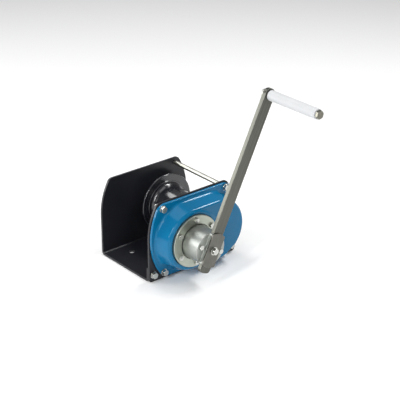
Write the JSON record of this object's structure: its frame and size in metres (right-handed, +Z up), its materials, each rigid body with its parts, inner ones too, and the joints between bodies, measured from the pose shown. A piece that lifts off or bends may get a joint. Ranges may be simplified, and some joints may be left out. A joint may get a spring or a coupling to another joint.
{
  "type": "boat trailer winch",
  "caption": "Hand winch with a black plate frame, a flanged rope drum, a blue gear cover with a bearing flange, and a leaning flat-bar crank with a white turning grip.",
  "frame": {"origin": "centre of the base plate's underside", "axes": "+X along the rope drum towards the crank, +Y to the rear, where the tie rod is, +Z up from the base"},
  "size_m": [0.4004, 0.2388, 0.3824],
  "materials": {
    "black_paint": "satin black paint",
    "drum_paint": "glossy black paint on a turned casting",
    "blue_paint": "glossy blue paint",
    "zinc_plate": "zinc plated steel with a faint olive tint",
    "plated_bar": "plated flat bar with drawn faces",
    "gear_steel": "machined steel, lightly greased",
    "bush_bronze": "sintered bronze",
    "brake_lining": "moulded brake lining",
    "gasket_paper": "black gasket sheet",
    "white_nylon": "smooth white plastic tube"
  },
  "bodies": {
    "frame": {"base_frame": "black_paint", "right_side_plate": "black_paint", "side_plate_bolt_front": "zinc_plate", "side_plate_bolt_rear": "zinc_plate", "cover_gasket": "gasket_paper", "gear_cover": "blue_paint", "cover_bolt_front_top": "zinc_plate", "cover_bolt_rear_top": "zinc_plate", "cover_bolt_front_bottom": "zinc_plate", "cover_bolt_rear_bottom": "zinc_plate", "cover_nut_front_top": "zinc_plate", "cover_nut_front_bottom": "zinc_plate", "cover_nut_rear_bottom": "zinc_plate", "tie_rod": "zinc_plate", "tie_rod_nut": "zinc_plate", "drum_bush_left": "bush_bronze", "drum_bush_right": "bush_bronze", "pinion_bush": "bush_bronze", "pawl_pin": "gear_steel", "pawl_spring": "zinc_plate", "hub_bush": "bush_bronze", "hub_flange": "zinc_plate", "flange_bolt_1": "zinc_plate", "flange_bolt_2": "zinc_plate", "flange_bolt_3": "zinc_plate", "flange_bolt_4": "zinc_plate", "flange_bolt_5": "zinc_plate", "flange_bolt_6": "zinc_plate"},
    "drum": {"drum_core": "drum_paint", "drum_flange_left": "drum_paint", "drum_flange_right": "drum_paint", "drum_shaft": "gear_steel", "drum_pin": "gear_steel", "drum_shaft_nut": "zinc_plate", "gear_spacer": "gear_steel", "drum_gear": "gear_steel", "gear_key": "gear_steel", "gear_retaining_nut": "zinc_plate", "rope_clamp": "zinc_plate", "rope_clamp_screw_1": "zinc_plate", "rope_clamp_screw_2": "zinc_plate"},
    "crank": {"pinion_shaft": "gear_steel", "brake_disc_inner": "brake_lining", "brake_disc_outer": "brake_lining", "crank_hub": "zinc_plate", "hub_bolt_1": "zinc_plate", "hub_bolt_2": "zinc_plate", "crank_arm": "plated_bar", "arm_clamp_plate": "plated_bar", "crank_centre_washer": "zinc_plate", "crank_centre_bolt": "zinc_plate", "grip_axle": "zinc_plate", "grip_axle_nut": "zinc_plate", "grip_washer": "zinc_plate"},
    "ratchet": {"ratchet_wheel": "gear_steel"},
    "pawl": {"pawl": "gear_steel"},
    "grip": {"grip": "white_nylon"}
  },
  "joints": [
    {"name": "crank_spin", "type": "hinge", "parent": "frame", "child": "crank", "pos_m": [0.15, -0.028, 0.083], "axis": [1, 0, 0], "continuous": true},
    {"name": "drum_spin", "type": "hinge", "parent": "frame", "child": "drum", "pos_m": [0, 0.04, 0.083], "axis": [1, 0, 0], "continuous": true},
    {"name": "grip_spin", "type": "hinge", "parent": "crank", "child": "grip", "pos_m": [0.24, 0.11478, 0.36938], "axis": [1, 0, 0], "continuous": true},
    {"name": "ratchet_spin", "type": "hinge", "parent": "frame", "child": "ratchet", "pos_m": [0.1065, -0.028, 0.083], "axis": [1, 0, 0], "continuous": true},
    {"name": "pawl_swing", "type": "hinge", "parent": "frame", "child": "pawl", "pos_m": [0.1065, -0.052, 0.12457], "axis": [-1, 0, 0], "range_deg": [0, 16], "stiffness_Nm_per_rad": 0.05, "springref_deg": -20.05}
  ],
  "couplings": [
    {"joint": "drum_spin", "follows": "crank_spin", "ratio": -0.21429}
  ]
}
